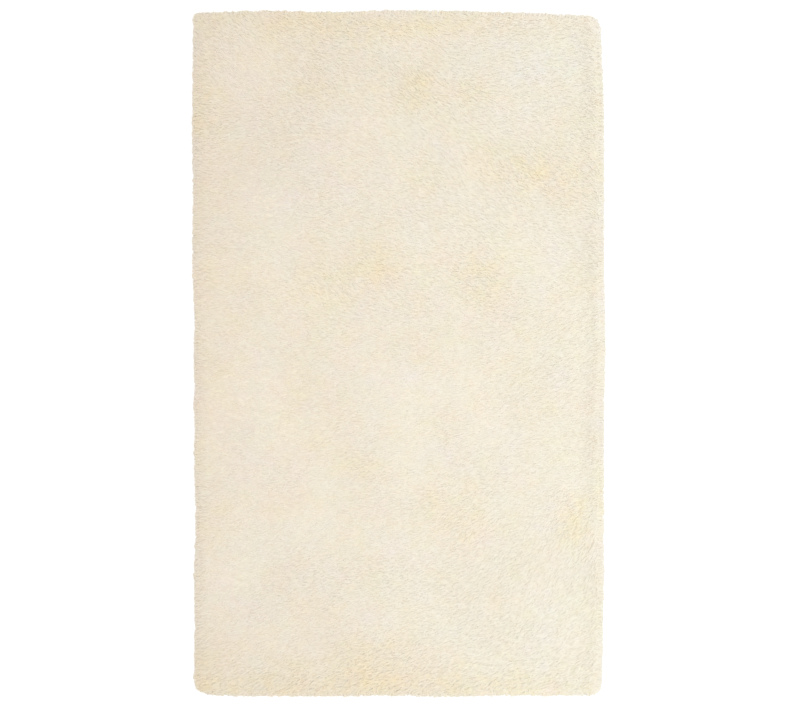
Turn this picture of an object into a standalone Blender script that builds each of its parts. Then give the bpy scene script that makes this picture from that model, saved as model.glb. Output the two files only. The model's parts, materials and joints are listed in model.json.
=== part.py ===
# Shag rug, 3 ft by 5 ft: one flat piece, woven and tufted whole, lying on its underside.
# Metres. +Z is up, +Y runs along the rug's length, and the origin is under its middle.

import math
from collections import namedtuple

import bmesh
import bpy
from mathutils import Vector

# Driving dimensions, over the pile
WIDTH = 0.915
LENGTH = 1.520
PILE_TOP = 0.029  # mean height of the pile as it lies
SHOULDER = 0.036  # the pile rounds over within this distance of the rug's edge

# Spacing of the surface's lines
CELL = 0.046  # over the middle
END_STEPS = (0.0, 0.009, 0.020, 0.036)  # from each end of a side

# How far each side draws in from the rug's widest reach, along from its left or lower end
EdgeRow = namedtuple("EdgeRow", "along inset")
LEFT_EDGE = (
    EdgeRow(0.00, 0.0050),
    EdgeRow(0.13, 0.0065),
    EdgeRow(0.17, 0.0040),
    EdgeRow(0.25, 0.0090),
    EdgeRow(0.36, 0.0045),
    EdgeRow(0.39, 0.0065),
    EdgeRow(0.42, 0.0025),
    EdgeRow(0.45, 0.0065),
    EdgeRow(0.50, 0.0030),
    EdgeRow(0.54, 0.0065),
    EdgeRow(0.63, 0.0000),
    EdgeRow(0.74, 0.0020),
    EdgeRow(0.82, 0.0000),
    EdgeRow(1.00, 0.0025),
)
RIGHT_EDGE = (
    EdgeRow(0.00, 0.0110),
    EdgeRow(0.08, 0.0070),
    EdgeRow(0.20, 0.0045),
    EdgeRow(0.40, 0.0045),
    EdgeRow(0.52, 0.0000),
    EdgeRow(0.64, 0.0040),
    EdgeRow(0.86, 0.0045),
    EdgeRow(1.00, 0.0130),
)
BOTTOM_EDGE = (
    EdgeRow(0.00, 0.0055),
    EdgeRow(0.10, 0.0010),
    EdgeRow(0.40, 0.0010),
    EdgeRow(0.47, 0.0030),
    EdgeRow(0.62, 0.0000),
    EdgeRow(0.75, 0.0030),
    EdgeRow(1.00, 0.0035),
)
TOP_EDGE = (
    EdgeRow(0.00, 0.0060),
    EdgeRow(0.18, 0.0000),
    EdgeRow(0.35, 0.0045),
    EdgeRow(0.50, 0.0000),
    EdgeRow(0.62, 0.0010),
    EdgeRow(0.76, 0.0060),
    EdgeRow(1.00, 0.0140),
)

# Corner radii, by the corner's side of the rug in X and in Y
CORNER_RADII = {
    (-1, -1): 0.030,
    (1, -1): 0.018,
    (1, 1): 0.022,
    (-1, 1): 0.010,
}

# The edge's section, from the flat underside out and up to the top of the pile:
# inset from the outline, and height as a share of the pile's top
SectionRow = namedtuple("SectionRow", "inset height")
EDGE_SECTION = (
    SectionRow(0.006, 0.00),
    SectionRow(0.001, 0.14),
    SectionRow(0.000, 0.36),
    SectionRow(0.003, 0.62),
    SectionRow(0.009, 0.81),
    SectionRow(0.020, 0.94),
    SectionRow(SHOULDER, 1.00),
)

# Where the combed pile rises and dips: waves across and along the rug, and their height
WaveRow = namedtuple("WaveRow", "across along height phase")
PILE_WAVES = (
    WaveRow(1.3, 2.1, 0.0009, 0.4),
    WaveRow(2.6, -1.7, 0.0006, 1.9),
    WaveRow(3.4, 4.8, 0.0004, 4.1),
)

CREAM = (0.86, 0.79, 0.65, 1.0)
PILE_ROUGHNESS = 0.95


def clear_scene():
    for old in list(bpy.data.objects):
        bpy.data.objects.remove(old)


def station_shares(span):
    """Shares of a side from 0 to 1, close together at its ends for the round corners."""
    near = [step / span for step in END_STEPS]
    cells = round((span - 2 * END_STEPS[-1]) / CELL)
    stretch = 1 - 2 * near[-1]
    middle = [near[-1] + stretch * i / cells for i in range(1, cells)]
    return near + middle + [1 - share for share in reversed(near)]


def inset_at(rows, along):
    """A side's inset, eased from one row to the next."""
    for before, after in zip(rows, rows[1:]):
        if along <= after.along:
            share = (along - before.along) / (after.along - before.along)
            eased = share * share * (3 - 2 * share)
            return before.inset + (after.inset - before.inset) * eased
    return rows[-1].inset


def square_corner(x_side, y_side):
    """Where two sides would meet if the corner weren't round."""
    side_rows = LEFT_EDGE if x_side < 0 else RIGHT_EDGE
    end_rows = BOTTOM_EDGE if y_side < 0 else TOP_EDGE
    x_inset = inset_at(side_rows, (1 + y_side) / 2)
    y_inset = inset_at(end_rows, (1 + x_side) / 2)
    return Vector((x_side * (WIDTH / 2 - x_inset), y_side * (LENGTH / 2 - y_inset)))


def on_arc(sides, away, runs_along_x):
    """The point of a round corner that stands for a point this far from its square one."""
    x_side, y_side = sides
    radius = CORNER_RADII[sides]
    corner = square_corner(x_side, y_side)
    centre = corner - Vector((x_side * radius, y_side * radius))
    turn = math.radians(45) * (1 - away / radius)
    reach = (math.sin(turn), math.cos(turn))
    if not runs_along_x:
        reach = reach[::-1]
    return centre + radius * Vector((x_side * reach[0], y_side * reach[1]))


def end_point(share, y_side):
    """A point of the rug's lower or upper end, from left to right."""
    left, right = square_corner(-1, y_side), square_corner(1, y_side)
    rows = BOTTOM_EDGE if y_side < 0 else TOP_EDGE
    x = left.x + (right.x - left.x) * share
    nearest = -1 if share < 0.5 else 1
    away = abs(x - (left.x if share < 0.5 else right.x))
    if away < CORNER_RADII[(nearest, y_side)]:
        return on_arc((nearest, y_side), away, True)
    return Vector((x, y_side * (LENGTH / 2 - inset_at(rows, share))))


def side_point(share, x_side):
    """A point of the rug's left or right side, from its lower end up."""
    lower, upper = square_corner(x_side, -1), square_corner(x_side, 1)
    rows = LEFT_EDGE if x_side < 0 else RIGHT_EDGE
    y = lower.y + (upper.y - lower.y) * share
    nearest = -1 if share < 0.5 else 1
    away = abs(y - (lower.y if share < 0.5 else upper.y))
    if away < CORNER_RADII[(x_side, nearest)]:
        return on_arc((x_side, nearest), away, False)
    return Vector((x_side * (WIDTH / 2 - inset_at(rows, share)), y))


def pile_height(x, y):
    """The top of the pile over one point of the rug."""
    height = PILE_TOP
    for wave in PILE_WAVES:
        turns = wave.across * x / WIDTH + wave.along * y / LENGTH
        height += wave.height * math.sin(2 * math.pi * turns + wave.phase)
    return height


def around(columns, rows):
    """The rim of a grid, once round from its lower left corner, as (column, row)."""
    last_column, last_row = columns - 1, rows - 1
    rim = [(i, 0) for i in range(last_column)]
    rim += [(last_column, j) for j in range(last_row)]
    rim += [(i, last_row) for i in range(last_column, 0, -1)]
    rim += [(0, j) for j in range(last_row, 0, -1)]
    return rim


def outline_point(place, across, along):
    """The point of the outline that a grid's rim vertex stands for."""
    column, row = place
    if row == 0:
        return end_point(across[column], -1)
    if row == len(along) - 1:
        return end_point(across[column], 1)
    return side_point(along[row], -1 if column == 0 else 1)


def add_top(bm, across, along):
    """The pile's top inside its shoulders, as a grid of vertices and faces."""
    xs = [(WIDTH / 2 - SHOULDER) * (2 * share - 1) for share in across]
    ys = [(LENGTH / 2 - SHOULDER) * (2 * share - 1) for share in along]
    grid = [[bm.verts.new((x, y, pile_height(x, y))) for y in ys] for x in xs]
    for i in range(len(across) - 1):
        for j in range(len(along) - 1):
            corners = grid[i][j], grid[i + 1][j], grid[i + 1][j + 1], grid[i][j + 1]
            bm.faces.new(corners)
    return grid


def add_ring(bm, section, rim, outline, shoulder):
    """One line round the rug at a place of the edge's section."""
    ring = []
    for place, outer in zip(rim, outline):
        inner = shoulder[place].co
        share = section.inset / SHOULDER
        x, y = outer.lerp(inner.xy, share)
        ring.append(bm.verts.new((x, y, section.height * inner.z)))
    return ring


def join_rings(bm, lower, upper):
    count = len(lower)
    for i in range(count):
        after = (i + 1) % count
        bm.faces.new((lower[i], lower[after], upper[after], upper[i]))


def fit_to_size(bm):
    """Brings the widest and longest reach to the rug's size, about the origin."""
    xs = [vertex.co.x for vertex in bm.verts]
    ys = [vertex.co.y for vertex in bm.verts]
    middle = Vector(((min(xs) + max(xs)) / 2, (min(ys) + max(ys)) / 2, 0))
    grow = Vector((WIDTH / (max(xs) - min(xs)), LENGTH / (max(ys) - min(ys)), 1))
    bmesh.ops.translate(bm, verts=bm.verts, vec=-middle)
    bmesh.ops.scale(bm, verts=bm.verts, vec=grow)


def rug_mesh():
    bm = bmesh.new()
    across, along = station_shares(WIDTH), station_shares(LENGTH)
    grid = add_top(bm, across, along)
    rim = around(len(across), len(along))
    outline = [outline_point(place, across, along) for place in rim]
    shoulder = {(i, j): grid[i][j] for i, j in rim}
    rings = [add_ring(bm, row, rim, outline, shoulder) for row in EDGE_SECTION[:-1]]
    rings.append([shoulder[place] for place in rim])
    for lower, upper in zip(rings, rings[1:]):
        join_rings(bm, lower, upper)
    underside = bm.faces.new(reversed(rings[0]))
    bmesh.ops.poke(bm, faces=[underside])
    fit_to_size(bm)
    mesh = bpy.data.meshes.new("rug")
    bm.to_mesh(mesh)
    bm.free()
    mesh.shade_smooth()
    mesh.set_sharp_from_angle(angle=math.radians(50))
    return mesh


def pile_material():
    material = bpy.data.materials.new("cream_pile")
    material.use_nodes = True
    shader = material.node_tree.nodes["Principled BSDF"]
    shader.inputs["Base Color"].default_value = CREAM
    shader.inputs["Roughness"].default_value = PILE_ROUGHNESS
    shader.inputs["Metallic"].default_value = 0.0
    return material


def main():
    clear_scene()
    rug = bpy.data.objects.new("rug", rug_mesh())
    rug.data.materials.append(pile_material())
    bpy.context.scene.collection.objects.link(rug)


main()
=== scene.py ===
import json
import math

import bmesh
import bpy
import numpy as np
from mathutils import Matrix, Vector, noise

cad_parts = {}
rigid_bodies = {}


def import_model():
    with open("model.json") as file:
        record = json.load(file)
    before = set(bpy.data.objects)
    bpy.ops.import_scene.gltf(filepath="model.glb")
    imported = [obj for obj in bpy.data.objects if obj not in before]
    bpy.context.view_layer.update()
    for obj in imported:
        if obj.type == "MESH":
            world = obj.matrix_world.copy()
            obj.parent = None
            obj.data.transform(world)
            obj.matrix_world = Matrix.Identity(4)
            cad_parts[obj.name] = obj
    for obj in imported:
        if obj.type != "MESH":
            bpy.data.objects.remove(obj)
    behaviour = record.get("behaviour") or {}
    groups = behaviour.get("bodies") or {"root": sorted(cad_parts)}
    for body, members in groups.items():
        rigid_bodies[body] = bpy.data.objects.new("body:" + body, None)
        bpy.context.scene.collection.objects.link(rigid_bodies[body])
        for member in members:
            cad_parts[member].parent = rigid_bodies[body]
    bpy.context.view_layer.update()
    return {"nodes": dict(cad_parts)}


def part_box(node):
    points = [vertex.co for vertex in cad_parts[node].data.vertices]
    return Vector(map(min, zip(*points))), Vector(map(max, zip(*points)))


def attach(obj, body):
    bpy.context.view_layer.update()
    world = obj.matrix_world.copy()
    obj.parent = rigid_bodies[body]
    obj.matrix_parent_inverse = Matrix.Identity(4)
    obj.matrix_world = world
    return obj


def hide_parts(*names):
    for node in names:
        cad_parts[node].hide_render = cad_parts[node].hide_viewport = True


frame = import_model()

# A cream shag rug from straight above. Metres, +Z up, +Y along the rug.
rugNode = frame["nodes"]["rug"]
rugLow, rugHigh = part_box("rug")
rugSize = rugHigh - rugLow
onFloor = 0.0001  # what is lower than this belongs to the flat underside
touching = 0.00001  # points nearer than this are one point


def readPoints(mesh):
    flat = np.empty(len(mesh.vertices) * 3, np.float32)
    mesh.vertices.foreach_get("co", flat)
    return flat.reshape(-1, 3).astype(np.float64)


def writePoints(mesh, points):
    mesh.vertices.foreach_set("co", points.astype(np.float32).ravel())
    mesh.update()


# 0 to 1, slow at both ends
def eased(share):
    share = np.clip(share, 0.0, 1.0)
    return share * share * (3 - 2 * share)


# some nodes have several sockets of a name, and one of them in use
def socketOf(sockets, name):
    return next(s for s in sockets if s.name == name and s.enabled)


# one node, its settings, and its inputs as values or as other nodes' outputs
def addNode(tree, kind, inputs=None, **settings):
    node = tree.nodes.new(kind)
    for name, value in settings.items():
        setattr(node, name, value)
    for name, value in (inputs or {}).items():
        socket = node.inputs[name] if isinstance(name, int) else socketOf(node.inputs, name)
        if isinstance(value, bpy.types.NodeSocket):
            tree.links.new(value, socket)
        else:
            socket.default_value = value
    return node


def mathNode(tree, operation, *values):
    inputs = dict(enumerate(values))
    return addNode(tree, "ShaderNodeMath", inputs, operation=operation).outputs[0]


def vectorNode(tree, operation, *values):
    inputs = dict(enumerate(values))
    return addNode(tree, "ShaderNodeVectorMath", inputs, operation=operation).outputs[0]


# the cloth that the pile grows from, cut to the frame's rug
groundCloth = {
    "name": "ground_cloth",
    "drawnIn": 0.001,  # in from the rim of the flat underside
    "thickness": 0.0024,
    "columns": 30,
    "rows": 50,
}


# the rim of the solid's flat underside, once round
def undersideRim():
    points = readPoints(rugNode.data)
    low = points[points[:, 2] < rugLow.z + onFloor, :2]
    low = np.unique(low.round(5), axis=0)
    isRim = np.abs(low / (rugSize.x / 2, rugSize.y / 2)).max(1) > 0.5  # not the middle's point
    low = low[isRim]
    return low[np.argsort(np.arctan2(low[:, 1], low[:, 0]))]


undersideLoop = undersideRim()
clothLoop = undersideLoop * (1 - 2 * groundCloth["drawnIn"] / np.ptp(undersideLoop, axis=0))


# how far points lie outside a loop, and the way out from it
def pastLoop(flatPoints, loop):
    starts, ends = loop, np.roll(loop, -1, axis=0)
    best = np.full(len(flatPoints), np.inf)
    foot = np.zeros_like(flatPoints)
    inside = np.zeros(len(flatPoints), bool)
    for start, end in zip(starts, ends):
        run = end - start
        share = np.clip((flatPoints - start) @ run / (run @ run), 0, 1)
        near = start + share[:, None] * run
        gap = np.linalg.norm(flatPoints - near, axis=1)
        closer = gap < best
        best[closer], foot[closer] = gap[closer], near[closer]
        crosses = (start[1] > flatPoints[:, 1]) != (end[1] > flatPoints[:, 1])
        if crosses.any():
            rise = flatPoints[crosses, 1] - start[1]
            inside[crosses] ^= flatPoints[crosses, 0] < start[0] + rise * run[0] / run[1]
    side = np.where(inside, -1.0, 1.0)
    wayOut = (flatPoints - foot) * side[:, None]
    wayOut /= np.maximum(np.linalg.norm(wayOut, axis=1), 1e-9)[:, None]
    return best * side, wayOut


# the cloth as a grid of points, row by row up the rug, drawn in to its loop
def clothGrid(columns, rows, z):
    left, low = clothLoop.min(0)
    right, high = clothLoop.max(0)
    across = np.linspace(left, right, columns + 1)
    flat = np.array([(x, y) for y in np.linspace(low, high, rows + 1) for x in across])
    out, wayOut = pastLoop(flat, clothLoop)
    flat -= wayOut * np.maximum(out, 0)[:, None]
    return [(x, y, z) for x, y in flat]


# the faces of such a grid, whose first point has this number
def gridFaces(columns, rows, first=0, flip=False):
    faces = []
    for row in range(rows):
        for column in range(columns):
            a = first + row * (columns + 1) + column
            face = (a, a + 1, a + columns + 2, a + columns + 1)
            faces.append(face[::-1] if flip else face)
    return faces


def meshObject(name, points, faces):
    mesh = bpy.data.meshes.new(name)
    mesh.from_pydata(points, [], faces)
    mesh.update()
    obj = bpy.data.objects.new(name, mesh)
    bpy.context.scene.collection.objects.link(obj)
    return obj


# two layers, joined round their rim
def makeGroundCloth():
    columns, rows = groundCloth["columns"], groundCloth["rows"]
    points = clothGrid(columns, rows, groundCloth["thickness"]) + clothGrid(columns, rows, 0.0)
    under = (columns + 1) * (rows + 1)
    faces = gridFaces(columns, rows) + gridFaces(columns, rows, under, True)
    rim = list(range(columns))
    rim += [row * (columns + 1) + columns for row in range(rows)]
    rim += [rows * (columns + 1) + column for column in range(columns, 0, -1)]
    rim += [row * (columns + 1) for row in range(rows, 0, -1)]
    for a, b in zip(rim, rim[1:] + rim[:1]):
        faces.append((a, a + under, b + under, b))
    return meshObject(groundCloth["name"], points, faces)


# how the pile lies at places up the rug: degrees that the locks, which point left, turn upwards
# on its left and on its right
lieUpRug = {
    "y": (-0.62, -0.37, -0.12, 0.12, 0.36, 0.61),
    "left": (-20, -12, -9, 3, 4, 20),
    "right": (-20, -9, -5, 13, 18, 10),
}

# places where a hand has brushed it another way
brushed = [
    # x, y, reach, turn
    (0.06, 0.58, 0.12, 20),
    (-0.17, 0.56, 0.07, 8),
    (0.16, 0.37, 0.13, 15),
    (0.28, 0.4, 0.1, 6),
    (-0.13, 0.14, 0.1, 24),
    (0.18, 0.15, 0.08, 4),
    (-0.35, 0.68, 0.11, 16),
    (-0.38, 0.52, 0.08, -18),
    (0.31, 0.67, 0.13, -14),
    (0.36, 0.05, 0.14, -26),
    (0.41, -0.46, 0.18, -28),
    (0.23, -0.46, 0.11, -10),
    (0.09, -0.33, 0.06, -6),
    (0.17, -0.38, 0.06, -8),
    (0.4, -0.39, 0.06, -10),
    (-0.36, -0.17, 0.13, 12),
    (-0.04, -0.55, 0.11, 10),
]

# places where the pile is open, its locks lifted and tinted with a yellower painted shade, or closed, lying
# flatter and painted paler
opened = [
    # x, y, half width, half height, how far
    (-0.16, 0.58, 0.06, 0.03, 0.5),
    (0.06, 0.58, 0.04, 0.04, 0.9),
    (0.18, 0.57, 0.07, 0.03, 0.5),
    (0.31, 0.39, 0.1, 0.04, 0.8),
    (0.39, 0.35, 0.04, 0.03, 0.4),
    (0.23, 0.43, 0.06, 0.03, 0.3),
    (0.07, 0.37, 0.04, 0.04, 0.3),
    (-0.16, 0.14, 0.09, 0.05, 0.55),
    (-0.03, 0.19, 0.06, 0.05, 0.6),
    (0.19, 0.17, 0.07, 0.06, 0.75),
    (-0.17, -0.2, 0.03, 0.02, 0.4),
    (-0.07, -0.25, 0.06, 0.03, 0.35),
    (0.09, -0.32, 0.02, 0.04, 0.5),
    (0.16, -0.38, 0.04, 0.06, 0.65),
    (0.4, -0.36, 0.04, 0.05, 0.9),
    (-0.03, -0.68, 0.09, 0.05, 0.45),
    (-0.04, -0.72, 0.06, 0.02, 0.4),
    (-0.41, -0.73, 0.03, 0.03, 0.5),
    (0.0, 0.71, 0.13, 0.02, 0.4),
    (-0.22, 0.73, 0.28, 0.04, 0.5),
    (0.22, 0.73, 0.20, 0.04, 0.5),
    (-0.22, -0.73, 0.28, 0.04, 0.6),
    (0.22, -0.73, 0.20, 0.04, 0.6),
    (-0.4, 0.53, 0.04, 0.13, 0.3),
    (-0.41, 0.17, 0.03, 0.07, 0.35),
    (0.3, 0.65, 0.12, 0.08, -0.35),
    (-0.28, 0.34, 0.1, 0.07, -0.3),
]


# painted light and shade up the rug, on its left and on its right: mostly darker on the left and paler on
# the right, as light from the right falls
paintedLightUpRug = {
    "y": (-0.66, -0.40, -0.13, 0.13, 0.40, 0.66),
    "left": (-0.11, 0.03, -0.11, -0.14, -0.25, -0.13),
    "right": (0.34, 0.16, -0.14, 0.12, 0.11, 0.18),
}

# where its locks stand up and where they lie smooth, as shares of the pile's lift
ruffle = {
    "rightward": 0.35,
    "y": (-0.76, -0.55, -0.30, -0.12, 0.10, 0.76),
    "lift": (0.1, -0.05, -0.25, -0.3, -0.12, 0.2),
    "grain": 0.45,
    "grainSize": 0.11,
}


# what changes up the rug, eased from its left side's values to its right side's
def upRug(flatPoints, change):
    left = np.interp(flatPoints[:, 1], change["y"], change["left"])
    right = np.interp(flatPoints[:, 1], change["y"], change["right"])
    return left + (right - left) * eased(flatPoints[:, 0] / rugSize.x + 0.5)


# the way the locks point at places on the rug
def combedAt(flatPoints):
    turn = upRug(flatPoints, lieUpRug)
    for x, y, reach, more in brushed:
        away = np.hypot(flatPoints[:, 0] - x, flatPoints[:, 1] - y) / reach
        turn += more * np.exp(-away * away)
    angle = np.radians(turn)
    return np.stack([-np.cos(angle), np.sin(angle), np.zeros(len(angle))], 1)


def openedAt(flatPoints):
    opening = np.zeros(len(flatPoints))
    for x, y, halfWide, halfHigh, amount in opened:
        away = np.hypot((flatPoints[:, 0] - x) / halfWide, (flatPoints[:, 1] - y) / halfHigh)
        opening += amount * np.exp(-away * away)
    return opening


# how far the locks are lifted there, less where they lie smooth
def liftAt(points, opening):
    grain = np.array([noise.noise(Vector(point) / ruffle["grainSize"]) for point in points])
    lift = opening + ruffle["rightward"] * points[:, 0] / rugHigh.x + ruffle["grain"] * grain
    return lift + np.interp(points[:, 1], ruffle["y"], ruffle["lift"])


def giveAttribute(mesh, name, kind, values):
    layer = mesh.attributes.new(name, kind, "POINT")
    field = "vector" if kind == "FLOAT_VECTOR" else "value"
    layer.data.foreach_set(field, np.asarray(values, np.float32).ravel())


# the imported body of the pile, under the locks that show
body = {
    "name": "pile_body",
    "under": 0.0046,  # depth under the rug's surface
    "lowest": 0.0015,
    "lowestSide": 0.0025,
    "lumps": 0.0005,
    "lumpSize": 0.055,
    "finer": 1,
    "rimToOutline": 0.006,  # how much wider the rug is than its flat underside
}


# the rug's widest outline, seen from above, and the body's
outlineLoop = undersideLoop * (1 + 2 * body["rimToOutline"] / np.ptp(undersideLoop, axis=0))
bodyLoop = outlineLoop * (1 - 2 * body["under"] / np.ptp(outlineLoop, axis=0))


# the rug's own shape, drawn in all round
def makeBody():
    bm = bmesh.new()
    bm.from_mesh(rugNode.data)
    bmesh.ops.remove_doubles(bm, verts=bm.verts, dist=touching)
    bmesh.ops.subdivide_edges(bm, edges=bm.edges, cuts=body["finer"], use_grid_fill=True)
    bm.normal_update()
    ways = {vert: vert.normal.copy() for vert in bm.verts}
    for vert, way in ways.items():
        if vert.co.z < onFloor:
            vert.co.xy *= 1 - groundCloth["drawnIn"] / vert.co.xy.length
            vert.co.z = body["lowest"]
            continue
        lump = noise.noise(vert.co / body["lumpSize"]) * body["lumps"]
        vert.co -= way * (body["under"] + lump)
        vert.co.z = max(vert.co.z, body["lowestSide"])
    mesh = bpy.data.meshes.new(body["name"])
    bm.to_mesh(mesh)
    bm.free()
    mesh.shade_smooth()
    obj = bpy.data.objects.new(body["name"], mesh)
    bpy.context.scene.collection.objects.link(obj)
    return obj


# which way the locks lie over each place of the body, and how long they are there
def combBody(mesh):
    points = readPoints(mesh)
    normals = np.empty(len(points) * 3, np.float32)
    mesh.vertex_normals.foreach_get("vector", normals)
    normals = normals.reshape(-1, 3)
    way = combedAt(points[:, :2])
    out, wayOut = pastLoop(points[:, :2], bodyLoop)
    down = np.full((len(points), 1), -pile["droop"])
    fallen = eased((1 - normals[:, 2]) / pile["tippedBy"])
    pointsOut = (way[:, :2] * wayOut).sum(1)
    extra = eased(1 + out / pile["parting"]) * eased(pile["combedOut"] - pointsOut)
    shorter = np.clip((points[:, 2] + pile["lowLock"]) / rugHigh.z, pile["lowShare"], 1.0)
    opening = openedAt(points[:, :2])
    facesUp = eased(normals[:, 2] * 2 - 1)
    giveAttribute(mesh, "up", "FLOAT_VECTOR", normals)
    giveAttribute(mesh, "combWay", "FLOAT_VECTOR", way)
    giveAttribute(mesh, "outWay", "FLOAT_VECTOR", np.concatenate([wayOut, down], 1))
    giveAttribute(mesh, "edgeShare", "FLOAT", fallen)
    giveAttribute(mesh, "reach", "FLOAT", 1 + (shorter - 1) * fallen)
    giveAttribute(mesh, "edgeExtra", "FLOAT", extra)
    giveAttribute(mesh, "opening", "FLOAT", opening * facesUp)
    giveAttribute(mesh, "lift", "FLOAT", liftAt(points, opening))
    # the painted light and shade up the rug
    giveAttribute(mesh, "pale", "FLOAT", upRug(points[:, :2], paintedLightUpRug))


# one lock of yarn, in a few bends
lock = {
    "bends": 8,
    "seed": 40,
    "length": 0.024,
    "width": 0.0038,
    "depth": 0.5,  # a lock is a little flatter than it is wide
    "sunk": 0.0012,
    "parts": (0.22, 0.40, 0.38),  # its three stretches
    "climb": (24, 6, -6),  # degrees up, stretch by stretch
    "climbSpread": 3,
    "sway": 0.12,  # sideways, as a share of its length
    "swayRange": (0.3, 1.2),
    "girth": (1.0, 1.1),  # at its two bends
    "mapMargin": 0.06,
}


# a lock's middle line from its root, as it lies along X
def lockLine(bend):
    chance = np.random.default_rng(lock["seed"] + bend)
    at = Vector((0, 0, -lock["sunk"]))
    line = [at.copy()]
    spread = lock["climbSpread"]
    side = -1 if bend % 2 else 1
    for k, (part, climb) in enumerate(zip(lock["parts"], lock["climb"])):
        up = math.radians(climb + chance.uniform(-spread, spread))
        aside = side * (-1) ** k * lock["sway"] * chance.uniform(*lock["swayRange"])
        step = Vector((math.cos(up), 0, math.sin(up))) * part + Vector((0, aside, 0))
        at = at + step * lock["length"]
        line.append(at.copy())
    return line


# a thin three-sided lock, pointed at both ends, with its own map
def makeLock(bend, home):
    line = lockLine(bend)
    mesh = bpy.data.meshes.new(f"lock_{bend}")
    bm = bmesh.new()
    along = bm.verts.layers.float.new("lockAlong")
    uv = bm.loops.layers.uv.new("lockMap")
    root, tip = bm.verts.new(line[0]), bm.verts.new(line[-1])
    tip[along] = 1.0
    rings = []
    for k in range(1, len(line) - 1):
        ahead = (line[k + 1] - line[k - 1]).normalized()
        side = ahead.cross(Vector((0, 0, 1))).normalized()
        top = side.cross(ahead)
        ring = []
        for corner in range(3):
            turn = math.radians(90 + 120 * corner)
            radius = lock["width"] / 2 * lock["girth"][k - 1]
            around = side * math.cos(turn) + top * math.sin(turn) * lock["depth"]
            vert = bm.verts.new(line[k] + around * radius)
            vert[along] = sum(lock["parts"][:k])
            vert.index = corner
            ring.append(vert)
        rings.append(ring)
    for i in range(3):
        j = (i + 1) % 3
        strips = [(root, rings[0][j], rings[0][i])]
        strips += [(low[i], low[j], high[j], high[i]) for low, high in zip(rings, rings[1:])]
        strips.append((rings[-1][i], rings[-1][j], tip))
        for verts in strips:
            face = bm.faces.new(verts)
            for loop in face.loops:
                middle = 0.5 if loop.vert in (root, tip) else float(loop.vert.index == j)
                loop[uv].uv = ((i + middle) / 3, loop.vert[along])
    bmesh.ops.recalc_face_normals(bm, faces=bm.faces)
    bm.to_mesh(mesh)
    bm.free()
    obj = bpy.data.objects.new(f"lock_{bend}", mesh)
    home.objects.link(obj)


def makeLocks():
    home = bpy.data.collections.new("lockBends")
    for bend in range(lock["bends"]):
        makeLock(bend, home)
    return home


# the pile, in bands up the rug
pile = {
    "name": "pile",
    "bands": 6,
    "spacing": 0.00307,
    "mostDense": 300000.0,  # locks for each square metre, before the spacing thins them
    "seed": 11,
    "facingDown": -0.35,  # none grow where the body faces down more than this
    "tippedBy": 0.6,  # locks hang down where the body is as steep as this
    "parting": 0.032,  # nearer the edge, more are added that hang over it
    "combedOut": 0.7,  # but not where they already point out as much as this
    "lowLock": 0.012,  # locks grow shorter down the edge, from this height under its top
    "lowShare": 0.5,  # to this share of their length
    "droop": 0.9,
    "swirl": 14,  # degrees, over a few centimetres
    "swirlSize": 0.045,
    "scatter": 13,  # degrees, lock by lock
    "tilt": 4,
    "roll": 24,
    "lift": 13,  # more, where the pile is open or ruffled
    # how locks differ in length, height and width
    "shortest": 0.75,
    "longest": 1.15,
    "lowest": 0.90,
    "highest": 1.04,
    "thinnest": 0.75,
    "thickest": 1.25,
}


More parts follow.
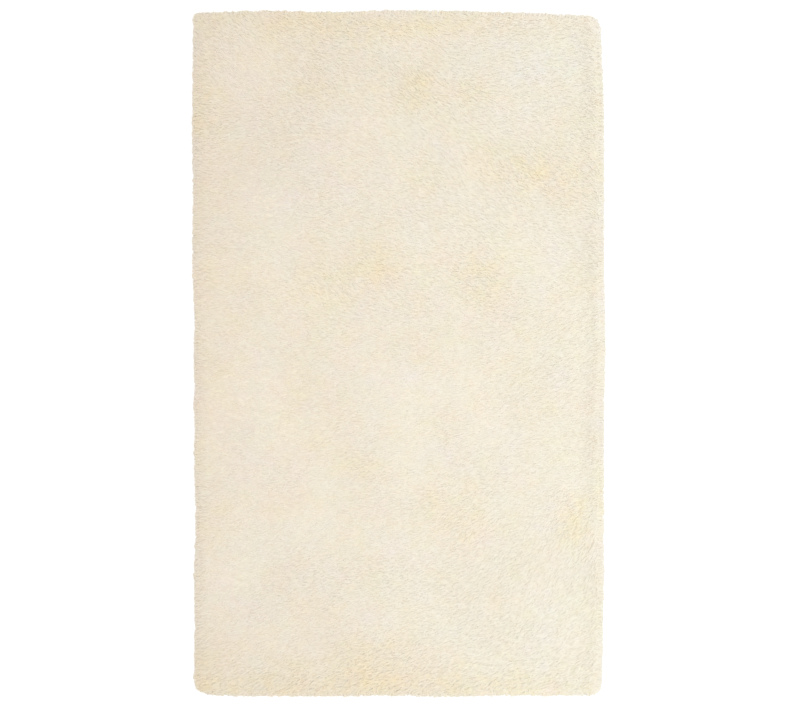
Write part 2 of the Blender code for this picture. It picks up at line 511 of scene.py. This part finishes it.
def makePileTree(locks, material):
    tree = bpy.data.node_groups.new("pileTree", "GeometryNodeTree")
    interface = tree.interface
    interface.new_socket("Geometry", in_out="INPUT", socket_type="NodeSocketGeometry")
    floats = ["From", "To", "Spacing", "Swirl", "Swirl Size", "Scatter", "Tilt", "Roll", "Lift"]
    floats += ["Shortest", "Longest", "Lowest", "Highest", "Thinnest", "Thickest"]
    for name in floats:
        interface.new_socket(name, in_out="INPUT", socket_type="NodeSocketFloat")
    interface.new_socket("Seed", in_out="INPUT", socket_type="NodeSocketInt")
    interface.new_socket("Geometry", in_out="OUTPUT", socket_type="NodeSocketGeometry")
    given = tree.nodes.new("NodeGroupInput").outputs

    def chance(low, high, step, kind="FLOAT"):
        seed = mathNode(tree, "ADD", given["Seed"], step)
        inputs = {"Min": low, "Max": high, "Seed": seed}
        node = addNode(tree, "FunctionNodeRandomValue", inputs, data_type=kind)
        return socketOf(node.outputs, "Value")

    def named(name, kind="FLOAT"):
        inputs = {"Name": name}
        node = addNode(tree, "GeometryNodeInputNamedAttribute", inputs, data_type=kind)
        return socketOf(node.outputs, "Attribute")

    def either(low, high, useHigh, kind):
        inputs = {"False": low, "True": high, "Switch": useHigh}
        return addNode(tree, "GeometryNodeSwitch", inputs, input_type=kind).outputs[0]

    def minus(value):
        return mathNode(tree, "MULTIPLY", value, -1.0)

    def parted(vector):
        return addNode(tree, "ShaderNodeSeparateXYZ", {"Vector": vector}).outputs

    def keep(geometry, name, value, domain, kind="FLOAT"):
        inputs = {"Geometry": geometry, "Name": name, "Value": value}
        kept = {"data_type": kind, "domain": domain}
        return addNode(tree, "GeometryNodeStoreNamedAttribute", inputs, **kept).outputs[0]

    # this band's stretch of the body, but not its underside
    position = tree.nodes.new("GeometryNodeInputPosition").outputs[0]
    facing = tree.nodes.new("GeometryNodeInputNormal").outputs[0]
    placeUp = parted(position)["Y"]
    inBand = mathNode(tree, "GREATER_THAN", placeUp, given["From"])
    inBand = mathNode(tree, "MULTIPLY", inBand, mathNode(tree, "LESS_THAN", placeUp, given["To"]))
    bears = mathNode(tree, "GREATER_THAN", parted(facing)["Z"], pile["facingDown"])
    inputs = {
        "Mesh": given["Geometry"],
        "Selection": mathNode(tree, "MULTIPLY", inBand, bears),
        "Distance Min": given["Spacing"],
        "Density Max": pile["mostDense"],
        "Seed": given["Seed"],
    }
    sown = {"distribute_method": "POISSON"}
    roots = addNode(tree, "GeometryNodeDistributePointsOnFaces", inputs, **sown).outputs["Points"]

    # and more near the edge, marked so that they all hang over it
    inputs["Density Factor"] = named("edgeExtra")
    inputs["Seed"] = mathNode(tree, "ADD", given["Seed"], 10)
    more = addNode(tree, "GeometryNodeDistributePointsOnFaces", inputs, **sown).outputs["Points"]
    more = keep(more, "isExtra", 1.0, "POINT")
    joined = tree.nodes.new("GeometryNodeJoinGeometry")
    tree.links.new(more, joined.inputs[0])
    tree.links.new(roots, joined.inputs[0])
    roots = joined.outputs[0]

    # each lock lies the way it is combed, or hangs down at the rug's edge
    hanging = mathNode(tree, "ADD", named("edgeShare"), named("isExtra"))
    hangs = mathNode(tree, "LESS_THAN", chance(0.0, 1.0, 1), hanging)
    way = either(named("combWay", "FLOAT_VECTOR"), named("outWay", "FLOAT_VECTOR"), hangs, "VECTOR")
    rotation = addNode(
        tree,
        "FunctionNodeAxesToRotation",
        {"Primary Axis": named("up", "FLOAT_VECTOR"), "Secondary Axis": way},
        primary_axis="Z",
        secondary_axis="X",
    ).outputs[0]
    scale = mathNode(tree, "DIVIDE", 1.0, given["Swirl Size"])
    wander = addNode(
        tree,
        "ShaderNodeTexNoise",
        {"Vector": position, "Scale": scale, "Detail": 2.0, "Roughness": 0.6},
        noise_dimensions="3D",
    ).outputs[0]
    wander = mathNode(tree, "MULTIPLY_ADD", wander, 2.0, -1.0)
    wander = mathNode(tree, "MULTIPLY", wander, given["Swirl"])
    wander = mathNode(tree, "ADD", wander, chance(minus(given["Scatter"]), given["Scatter"], 2))
    lifted = mathNode(tree, "MULTIPLY", named("lift"), given["Lift"])
    turn = addNode(
        tree,
        "ShaderNodeCombineXYZ",
        {
            "X": chance(minus(given["Roll"]), given["Roll"], 3),
            "Y": mathNode(tree, "SUBTRACT", chance(minus(given["Tilt"]), given["Tilt"], 4), lifted),
            "Z": wander,
        },
    ).outputs[0]
    turn = addNode(tree, "FunctionNodeEulerToRotation", {0: turn}).outputs[0]
    rotation = addNode(
        tree,
        "FunctionNodeRotateRotation",
        {"Rotation": rotation, "Rotate By": turn},
        rotation_space="LOCAL",
    ).outputs[0]
    long = mathNode(tree, "MULTIPLY", chance(given["Shortest"], given["Longest"], 5), named("reach"))
    wide = chance(given["Thinnest"], given["Thickest"], 6)
    high = chance(given["Lowest"], given["Highest"], 9)
    size = addNode(tree, "ShaderNodeCombineXYZ", {"X": long, "Y": wide, "Z": high}).outputs[0]

    bends = addNode(
        tree,
        "GeometryNodeCollectionInfo",
        {"Collection": locks, "Separate Children": True, "Reset Children": True},
    ).outputs[0]
    placed = addNode(
        tree,
        "GeometryNodeInstanceOnPoints",
        {
            "Points": roots,
            "Instance": bends,
            "Pick Instance": True,
            "Instance Index": chance(0, lock["bends"] - 1, 7, "INT"),
            "Rotation": rotation,
            "Scale": size,
        },
    ).outputs[0]
    number = tree.nodes.new("GeometryNodeInputIndex").outputs[0]
    placed = keep(placed, "lockNumber", number, "INSTANCE")
    placed = keep(placed, "lockTone", chance(0.0, 1.0, 8), "INSTANCE")
    placed = keep(placed, "lockOpening", named("opening"), "INSTANCE")
    # each lock carries the painted light and shade of its place
    placed = keep(placed, "lockPale", named("pale"), "INSTANCE")
    count = addNode(
        tree, "GeometryNodeAttributeDomainSize", {"Geometry": placed}, component="INSTANCES"
    )
    across = mathNode(tree, "CEIL", mathNode(tree, "SQRT", socketOf(count.outputs, "Instance Count")))

    real = addNode(tree, "GeometryNodeRealizeInstances", {"Geometry": placed}).outputs[0]

    # every lock has a cell of its own on the piece's map, with a margin round it
    lockNumber = named("lockNumber")
    column = mathNode(tree, "MODULO", lockNumber, across)
    row = mathNode(tree, "FLOOR", mathNode(tree, "DIVIDE", lockNumber, across))
    cell = addNode(tree, "ShaderNodeCombineXYZ", {"X": column, "Y": row}).outputs[0]
    lockMap = named("lockMap", "FLOAT_VECTOR")
    margin = lock["mapMargin"]
    inner = 1 - 2 * margin
    inCell = vectorNode(tree, "MULTIPLY_ADD", lockMap, (inner, inner, 0.0), (margin, margin, 0.0))
    spot = vectorNode(tree, "ADD", cell, inCell)
    share = mathNode(tree, "DIVIDE", 1.0, across)
    spot = addNode(tree, "ShaderNodeVectorMath", {0: spot, "Scale": share}, operation="SCALE").outputs[0]
    real = keep(real, "OFBake", spot, "CORNER", "FLOAT2")
    real = addNode(
        tree, "GeometryNodeSetMaterial", {"Geometry": real, "Material": material}
    ).outputs[0]
    addNode(tree, "NodeGroupOutput", {"Geometry": real})
    return tree


# sets a modifier's inputs by the tree's names for them
def setInputs(modifier, values):
    for item in modifier.node_group.interface.items_tree:
        if item.item_type == "SOCKET" and item.in_out == "INPUT" and item.name in values:
            modifier[item.identifier] = values[item.name]


# one band of the pile, grown by the tree and then made a plain mesh
def makeBand(number, combed, tree):
    step = rugSize.y / pile["bands"]
    band = bpy.data.objects.new(f"{pile['name']}_{number + 1}", combed.copy())
    bpy.context.scene.collection.objects.link(band)
    grow = band.modifiers.new("pile", "NODES")
    grow.node_group = tree
    setInputs(
        grow,
        {
            "From": rugLow.y + step * number,
            "To": rugLow.y + step * (number + 1),
            "Spacing": pile["spacing"],
            "Swirl": math.radians(pile["swirl"]),
            "Swirl Size": pile["swirlSize"],
            "Scatter": math.radians(pile["scatter"]),
            "Tilt": math.radians(pile["tilt"]),
            "Roll": math.radians(pile["roll"]),
            "Lift": math.radians(pile["lift"]),
            "Shortest": pile["shortest"],
            "Longest": pile["longest"],
            "Lowest": pile["lowest"],
            "Highest": pile["highest"],
            "Thinnest": pile["thinnest"],
            "Thickest": pile["thickest"],
            "Seed": pile["seed"] + 100 * number,
        },
    )
    graph = bpy.context.evaluated_depsgraph_get()
    grown = bpy.data.meshes.new_from_object(
        band.evaluated_get(graph), preserve_all_data_layers=True, depsgraph=graph
    )
    band.modifiers.clear()
    band.data = grown
    return band


# locks that lie out over the rug's edge bend down and pack together
fall = {
    "near": 0.06,  # from the rug's edge in, past which nothing is moved
    "droop": 25.0,  # metres down for each square metre out
    "beyond": (0.0006, 0.0062),  # how far past the outline the pile goes, on the left and right
    # its tufts: how far apart, and how far they stand out
    "tufts": ((0.061, 0.0010), (0.037, 0.0009), (0.023, 0.0008), (0.013, 0.0005)),
    "tuftShift": (0.0004, 1.7),  # from one kind to the next, in metres and in radians
    "tuftDrift": (9.0, 3.0),  # how often their spacing strays, and how far
    "fray": 0.0045,  # some locks reach further than others
    "thin": 0.004,  # they are paler from this far inside the edge
    # the edge's tips are painted paler from this far inside, for light that shows through them
    "leastRoom": 0.002,
    "floor": 0.0006,
    "knee": 0.004,  # what stands higher than this over the rug's top is pressed down
}


# the uneven edge: tufts stand out and draw in along it
def tuftsAt(flatPoints):
    total = np.zeros(len(flatPoints))
    shift, turn = fall["tuftShift"]
    often, far = fall["tuftDrift"]
    for k, (span, height) in enumerate(fall["tufts"]):
        along = flatPoints[:, 0] + flatPoints[:, 1] + shift * k
        total += height * np.sin(2 * math.pi * along / span + turn * k + far * np.sin(along * often))
    return total


# bends one band's locks at the edge, and marks how far out each point is
def letFall(mesh):
    points = readPoints(mesh)
    box = np.array([rugSize.x, rugSize.y]) / 2 - fall["near"]
    near = (np.abs(points[:, :2]) > box).any(1)
    moved = points[near]
    tone = np.empty(len(points), np.float32)
    mesh.attributes["lockTone"].data.foreach_get("value", tone)
    fray = fall["fray"] * (tone[near] - 0.5)
    out, wayOut = pastLoop(moved[:, :2], bodyLoop)
    over = np.maximum(out, 0)
    foot = moved[:, :2] - wayOut * out[:, None]
    beyond = np.interp(wayOut[:, 0], (-1, 1), fall["beyond"])
    room = np.maximum(body["under"] + tuftsAt(foot) + beyond + fray, fall["leastRoom"])
    reach = np.where(out > 0, over / np.sqrt(1 + (over / room) ** 2), out)
    moved[:, :2] = foot + wayOut * reach[:, None]
    # how far each point lies into the edge band that is painted paler
    fringe = np.zeros(len(points))
    fringe[near] = eased((reach + fall["thin"]) / (room + fall["thin"]))
    giveAttribute(mesh, "fringe", "FLOAT", fringe)
    moved[:, 2] -= fall["droop"] * over * over
    points[near] = moved
    points[:, 2] = np.maximum(points[:, 2], fall["floor"])
    top, knee = rugHigh.z, fall["knee"]
    above = np.maximum(points[:, 2] - top, 0)
    points[:, 2] = np.where(above > 0, top + knee * (1 - np.exp(-above / knee)), points[:, 2])
    writePoints(mesh, points)


# the pile's yarn
yarn = {
    "tip": (0.706, 0.576, 0.421),
    # the root end is painted paler than the tip: painted light that lifts the shade deep in the pile
    "root": (0.797, 0.691, 0.528),
    # painted shade: darker and yellower, for the shade between the locks
    "deepShade": (0.75, 0.61, 0.41),
    # a yellower painted shade where the pile is open
    "openedShadeTint": (0.06, 0.01, -0.14),  # added where the pile is open
    "raggedness": (34.0, 3.2, -0.5),  # of those places: noise scale, how strong, and its shift
    # painted light: paler, greyer tips at the rug's edge, for light that shows through them
    "fringeLightTint": (0.03, 0.08, 0.16),  # its tips stand paler at the rug's edge
    # painted light and shade: paler and bluer on the lit right, darker on the left
    "paintedLightTint": (0.09, 0.16, 0.20),
    "toneSpread": 0.04,
    "roughness": 0.85,
    "shine": 0.2,
    "sheen": 0.10,
    "sheenRoughness": 0.5,
    "streaks": 0.16,  # how much its fibres differ
    "fibres": (30.0, 1.6, 1.0),  # across a lock and along it
    "unlike": 0.37,  # from one lock's fibres to the next one's
    "bump": (0.3, 0.0004),  # strength, and depth in metres
    "packedFibres": 420.0,
    "packedBump": (0.5, 0.001),
    # how its colour wanders over the rug: noise scale, its shift, one tint and the other
    "patches": (
        (3.5, 0.0, (0.95, 0.912, 0.89), (1.05, 1.088, 1.11)),
        (10.0, 7.0, (1.01, 1.0, 0.86), (0.99, 1.0, 1.14)),
        (18.0, 19.0, (1.06, 0.97, 0.98), (0.94, 1.03, 1.02)),
        (30.0, 3.0, (1.0, 0.995, 0.86), (1.0, 1.005, 1.14)),
    ),
    # its tone across the rug, from its left to its right: painted light, darker to the left and paler to the
    # right, as light from the right falls
    "across": (
        (0.0, (0.92, 0.889, 0.864)),
        (0.12, (0.943, 0.922, 0.905)),
        (0.5, (0.986, 0.988, 0.986)),
        (0.88, (1.013, 1.038, 1.042)),
        (0.93, (1.022, 1.052, 1.06)),
        (0.955, (1.035, 1.065, 1.075)),
        (1.0, (1.035, 1.065, 1.075)),
    ),
}


def shaderOf(material):
    material.use_nodes = True
    return material.node_tree, material.node_tree.nodes["Principled BSDF"]


def rgba(colour):
    return (*colour, 1.0)


def mixColours(tree, share, first, second, blend="MIX"):
    inputs = {"Factor": share, "A": first, "B": second}
    node = addNode(tree, "ShaderNodeMix", inputs, data_type="RGBA", blend_type=blend)
    return socketOf(node.outputs, "Result")


def attributeOf(tree, name):
    return addNode(tree, "ShaderNodeAttribute", attribute_name=name).outputs["Fac"]


def objectPlace(tree):
    return addNode(tree, "ShaderNodeTexCoord").outputs["Object"]


# a colour changed by a share of a tint, which is added to white first
def tinted(tree, colour, share, change):
    tint = vectorNode(tree, "MULTIPLY_ADD", share, change, (1.0, 1.0, 1.0))
    return mixColours(tree, 1.0, colour, tint, "MULTIPLY")


def shaded(tree, colour, shade):
    grey = addNode(tree, "ShaderNodeCombineColor", {"Red": shade, "Green": shade, "Blue": shade})
    return mixColours(tree, 1.0, colour, grey.outputs[0], "MULTIPLY")


# a yarn colour as it wanders over the rug, then painted darker to the left and paler to the right as painted
# light
def patched(tree, colour):
    place = objectPlace(tree)
    for scale, shift, oneTint, otherTint in yarn["patches"]:
        spot = vectorNode(tree, "ADD", place, (shift, shift, 0.0))
        grain = {"Vector": spot, "Scale": scale, "Detail": 3.0, "Roughness": 0.6}
        share = addNode(tree, "ShaderNodeTexNoise", grain).outputs[0]
        tint = mixColours(tree, share, rgba(oneTint), rgba(otherTint))
        colour = mixColours(tree, 1.0, colour, tint, "MULTIPLY")
    # painted light across the rug: darker to the left, paler to the right
    across = addNode(tree, "ShaderNodeSeparateXYZ", {"Vector": place}).outputs["X"]
    share = mathNode(tree, "MULTIPLY_ADD", across, 1 / rugSize.x, 0.5)
    ramp = addNode(tree, "ShaderNodeValToRGB", {"Fac": share})
    stops = ramp.color_ramp.elements
    while len(stops) < len(yarn["across"]):
        stops.new(0.5)
    brightest = max(max(tone) for _, tone in yarn["across"])  # a ramp's colours stop at 1
    for stop, (at, tone) in zip(stops, yarn["across"]):
        stop.position = at
        stop.color = rgba([part / brightest for part in tone])
    colour = mixColours(tree, 1.0, colour, ramp.outputs["Color"], "MULTIPLY")
    return mixColours(tree, 1.0, colour, (brightest, brightest, brightest, 1.0), "MULTIPLY")


def addBump(tree, shader, height, strength, depth):
    inputs = {"Strength": strength, "Distance": depth, "Height": height}
    bump = addNode(tree, "ShaderNodeBump", inputs)
    tree.links.new(bump.outputs[0], shader.inputs["Normal"])


def makeYarn():
    material = bpy.data.materials.new("creamYarn")
    tree, shader = shaderOf(material)
    along = attributeOf(tree, "lockAlong")
    # paler towards the root: painted light lifting the shade deep in the pile
    colour = mixColours(tree, along, rgba(yarn["root"]), rgba(yarn["tip"]))
    # the open places get a yellower painted shade, ragged at its edges
    scale, strength, shift = yarn["raggedness"]
    grain = {"Vector": objectPlace(tree), "Scale": scale, "Detail": 2.0}
    ragged = addNode(tree, "ShaderNodeTexNoise", grain).outputs[0]
    ragged = mathNode(tree, "MULTIPLY_ADD", ragged, strength, shift)
    opening = mathNode(tree, "MULTIPLY", attributeOf(tree, "lockOpening"), ragged)
    colour = tinted(tree, colour, opening, yarn["openedShadeTint"])
    # painted light at the edge: its thin tips paler
    colour = tinted(tree, colour, attributeOf(tree, "fringe"), yarn["fringeLightTint"])
    # painted light and shade: darker on the left, paler on the right
    colour = tinted(tree, colour, attributeOf(tree, "lockPale"), yarn["paintedLightTint"])
    tone = attributeOf(tree, "lockTone")
    spread = yarn["toneSpread"]
    colour = shaded(tree, colour, mathNode(tree, "MULTIPLY_ADD", tone, spread, 1 - spread))

    # the fibres run along each lock
    place = addNode(tree, "ShaderNodeUVMap", uv_map="lockMap").outputs[0]
    number = attributeOf(tree, "lockNumber")
    offset = addNode(tree, "ShaderNodeCombineXYZ", {"Z": mathNode(tree, "MULTIPLY", number, yarn["unlike"])})
    place = vectorNode(tree, "MULTIPLY_ADD", place, yarn["fibres"], offset.outputs[0])
    fibres = addNode(tree, "ShaderNodeTexNoise", {"Vector": place, "Scale": 1.0, "Detail": 2.0}).outputs[0]
    streaks = yarn["streaks"]
    colour = shaded(tree, colour, mathNode(tree, "MULTIPLY_ADD", fibres, streaks, 1 - streaks / 2))
    tree.links.new(patched(tree, colour), shader.inputs["Base Color"])
    addBump(tree, shader, fibres, *yarn["bump"])
    shader.inputs["Roughness"].default_value = yarn["roughness"]
    shader.inputs["Specular IOR Level"].default_value = yarn["shine"]
    shader.inputs["Sheen Weight"].default_value = yarn["sheen"]
    shader.inputs["Sheen Roughness"].default_value = yarn["sheenRoughness"]
    return material


# the body shows only between the locks, its colour running from the root's to a darker, yellower painted
# shade
def makePackedYarn():
    material = bpy.data.materials.new("packedYarn")
    tree, shader = shaderOf(material)
    tangle = {"Vector": objectPlace(tree), "Scale": yarn["packedFibres"], "Detail": 3.0, "Distortion": 1.5}
    fibres = addNode(tree, "ShaderNodeTexNoise", tangle).outputs[0]
    # painted shade: from the darker, yellower shade to the root's colour
    colour = mixColours(tree, fibres, rgba(yarn["deepShade"]), rgba(yarn["root"]))
    tree.links.new(patched(tree, colour), shader.inputs["Base Color"])
    addBump(tree, shader, fibres, *yarn["packedBump"])
    shader.inputs["Roughness"].default_value = yarn["roughness"]
    shader.inputs["Specular IOR Level"].default_value = yarn["shine"]
    return material


# the ground cloth's weave
weave = {
    "warp": 0.0032,  # from thread to thread
    "weft": 0.0040,
    "thread": (0.91, 0.86, 0.75),
    # painted shade between the threads
    "gap": (0.84, 0.77, 0.64),
    "fuzz": (600.0, 0.25),  # noise scale, and how strong
    "fading": (14.0, 0.16),
    "bump": (0.7, 0.0008),
    "roughness": 0.92,
    "shine": 0.2,
}


# the underside: threads over and under each other, painted darker where the weave is low as painted shade
def makeWeave():
    material = bpy.data.materials.new("groundWeave")
    tree, shader = shaderOf(material)
    place = objectPlace(tree)
    parts = addNode(tree, "ShaderNodeSeparateXYZ", {"Vector": place}).outputs

    # one over and one under, as waves across each other
    def wave(value, pitch):
        return mathNode(tree, "SINE", mathNode(tree, "MULTIPLY_ADD", value, math.pi / pitch, 0.0))

    across = wave(parts["X"], weave["warp"])
    up = wave(parts["Y"], weave["weft"])
    over = mathNode(tree, "GREATER_THAN", mathNode(tree, "MULTIPLY", across, up), 0.0)
    warpRound = mathNode(tree, "ABSOLUTE", across)
    weftRound = mathNode(tree, "ABSOLUTE", up)
    warpHeight = mathNode(tree, "MULTIPLY", warpRound, mathNode(tree, "MULTIPLY_ADD", over, 0.5, 0.5))
    weftHeight = mathNode(tree, "MULTIPLY", weftRound, mathNode(tree, "MULTIPLY_ADD", over, -0.5, 1.0))
    height = mathNode(tree, "MAXIMUM", warpHeight, weftHeight)
    scale, strength = weave["fuzz"]
    fuzz = addNode(tree, "ShaderNodeTexNoise", {"Vector": place, "Scale": scale, "Detail": 3.0})
    height = mathNode(tree, "MULTIPLY_ADD", fuzz.outputs[0], strength, height)
    # painted shade: darker where the weave is low, paler on the threads' tops
    colour = mixColours(tree, height, rgba(weave["gap"]), rgba(weave["thread"]))
    scale, strength = weave["fading"]
    fading = addNode(tree, "ShaderNodeTexNoise", {"Vector": place, "Scale": scale, "Detail": 3.0})
    shade = mathNode(tree, "MULTIPLY_ADD", fading.outputs[0], strength, 1 - strength / 2)
    tree.links.new(shaded(tree, colour, shade), shader.inputs["Base Color"])
    addBump(tree, shader, height, *weave["bump"])
    shader.inputs["Roughness"].default_value = weave["roughness"]
    shader.inputs["Specular IOR Level"].default_value = weave["shine"]
    return material


# the floor, the light and the camera
studio = {
    "floorSize": 80.0,
    "floorColour": (0.93, 0.93, 0.93),
    "floorRoughness": 0.9,
    "floorGlow": 0.44,  # the floor is a lit table, so that it stays white to the rug's edge
    "skyColour": (1.0, 0.96, 0.91),
    "skyStrength": 0.60,
    "horizon": 1.05,  # as bright as the far floor
    "horizonEnds": 0.6,  # the sky is at its own strength above this
    "keyColour": (0.86, 0.97, 1.0),
    "keyPlace": (0.52, -0.12, 3.2),
    "keySize": 1.0,
    "keyPower": 73.0,
    "lens": 85.0,
    "sensor": 36.0,
    "gamma": 1.8,  # a pale, low-contrast print
    "bounces": 16,  # light goes far down between the locks
}

# where the rug lies in the photograph, in its pixels
photo = {
    "width": 800,
    "height": 710,
    "rugWidth": 413,
    "rugMiddle": (398.5, 353.5),
}


def makeFloor():
    half = studio["floorSize"] / 2
    corners = [(-half, -half, 0), (half, -half, 0), (half, half, 0), (-half, half, 0)]
    floor = meshObject("floor", corners, [(0, 1, 2, 3)])
    material = bpy.data.materials.new("paleFloor")
    shader = shaderOf(material)[1]
    shader.inputs["Base Color"].default_value = rgba(studio["floorColour"])
    shader.inputs["Emission Color"].default_value = rgba(studio["floorColour"])
    shader.inputs["Emission Strength"].default_value = studio["floorGlow"]
    shader.inputs["Roughness"].default_value = studio["floorRoughness"]
    floor.data.materials.append(material)


def makeLight():
    world = bpy.data.worlds.new("softRoom")
    bpy.context.scene.world = world
    world.use_nodes = True
    tree = world.node_tree
    sky = tree.nodes["Background"]
    sky.inputs["Color"].default_value = rgba(studio["skyColour"])
    direction = addNode(tree, "ShaderNodeTexCoord").outputs["Generated"]
    rise = {
        "Value": addNode(tree, "ShaderNodeSeparateXYZ", {"Vector": direction}).outputs["Z"],
        "From Max": studio["horizonEnds"],
        "To Min": studio["horizon"],
        "To Max": studio["skyStrength"],
    }
    strength = addNode(tree, "ShaderNodeMapRange", rise).outputs[0]
    tree.links.new(strength, sky.inputs["Strength"])
    lamp = bpy.data.lights.new("keyLight", "AREA")
    lamp.shape, lamp.size = "DISK", studio["keySize"]
    lamp.color = studio["keyColour"]
    lamp.energy = studio["keyPower"]
    key = bpy.data.objects.new("keyLight", lamp)
    key.location = studio["keyPlace"]
    key.rotation_euler = Vector(studio["keyPlace"]).to_track_quat("Z", "Y").to_euler()
    key.visible_camera = False
    bpy.context.scene.collection.objects.link(key)


def makeCamera():
    metresPerPixel = rugSize.x / photo["rugWidth"]
    across = photo["width"] * metresPerPixel
    away = across / studio["sensor"] * studio["lens"]
    x = (photo["width"] / 2 - photo["rugMiddle"][0]) * metresPerPixel
    y = (photo["rugMiddle"][1] - photo["height"] / 2) * metresPerPixel
    lens = bpy.data.cameras.new("camera")
    lens.lens, lens.sensor_width = studio["lens"], studio["sensor"]
    camera = bpy.data.objects.new("camera", lens)
    camera.location = (x, y, away + rugSize.z / 3)  # its scale is right a third up the pile
    bpy.context.scene.collection.objects.link(camera)
    bpy.context.scene.camera = camera


# everything in its place
scene = bpy.context.scene
scene.view_settings.view_transform = "Standard"
scene.view_settings.gamma = studio["gamma"]
scene.cycles.diffuse_bounces = studio["bounces"]
scene.cycles.max_bounces = studio["bounces"]
creamYarn = makeYarn()
packedYarn = makePackedYarn()
groundWeave = makeWeave()
print("materials made")

cloth = makeGroundCloth()
cloth.data.materials.append(groundWeave)
print("ground cloth made:", len(cloth.data.polygons), "faces")

pileBody = makeBody()
pileBody.data.materials.clear()
pileBody.data.materials.append(packedYarn)
combed = pileBody.data.copy()
combBody(combed)
print("pile body made:", len(pileBody.data.polygons), "faces")

locks = makeLocks()
pileTree = makePileTree(locks, creamYarn)
bands = []
for number in range(pile["bands"]):
    band = makeBand(number, combed, pileTree)
    letFall(band.data)
    bands.append(band)
    print(band.name, "made:", len(band.data.polygons), "faces")
for shape in list(locks.objects):
    bpy.data.objects.remove(shape)
bpy.data.collections.remove(locks)

for piece in [cloth, pileBody, *bands]:
    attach(piece, "root")
    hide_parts("rug")

makeFloor()
makeLight()
makeCamera()
print("studio made")
